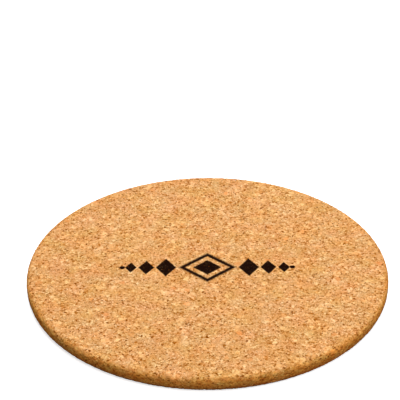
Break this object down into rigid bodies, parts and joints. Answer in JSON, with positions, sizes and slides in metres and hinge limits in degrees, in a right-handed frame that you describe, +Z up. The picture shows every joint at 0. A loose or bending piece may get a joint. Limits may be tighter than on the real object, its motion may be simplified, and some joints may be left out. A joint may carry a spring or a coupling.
{
  "type": "magnetic cork trivet",
  "caption": "Flat round trivet of laminated pressed cork with a rounded rim and sealed disc magnets that hold it under a steel pan.",
  "frame": {"origin": "centre of the face that rests on the table", "axes": "+Z up, square to the faces, towards the pan; the disc is round, so X and Y are free and follow the magnets' seats at 45 degrees"},
  "size_m": [0.195, 0.195, 0.008],
  "materials": {
    "cork_sheet": "fine pressed cork, sanded and left raw",
    "cork_core": "pressed cork, sawn",
    "glue_film": "cured flexible glue, slightly translucent",
    "ferrite": "sintered ferrite, ground, unpainted"
  },
  "bodies": {
    "root": {"base_sheet": "cork_sheet", "lower_film": "glue_film", "core_sheet": "cork_core", "upper_film": "glue_film", "top_sheet": "cork_sheet", "magnet_1": "ferrite", "magnet_2": "ferrite", "magnet_3": "ferrite", "magnet_4": "ferrite"}
  },
  "joints": []
}
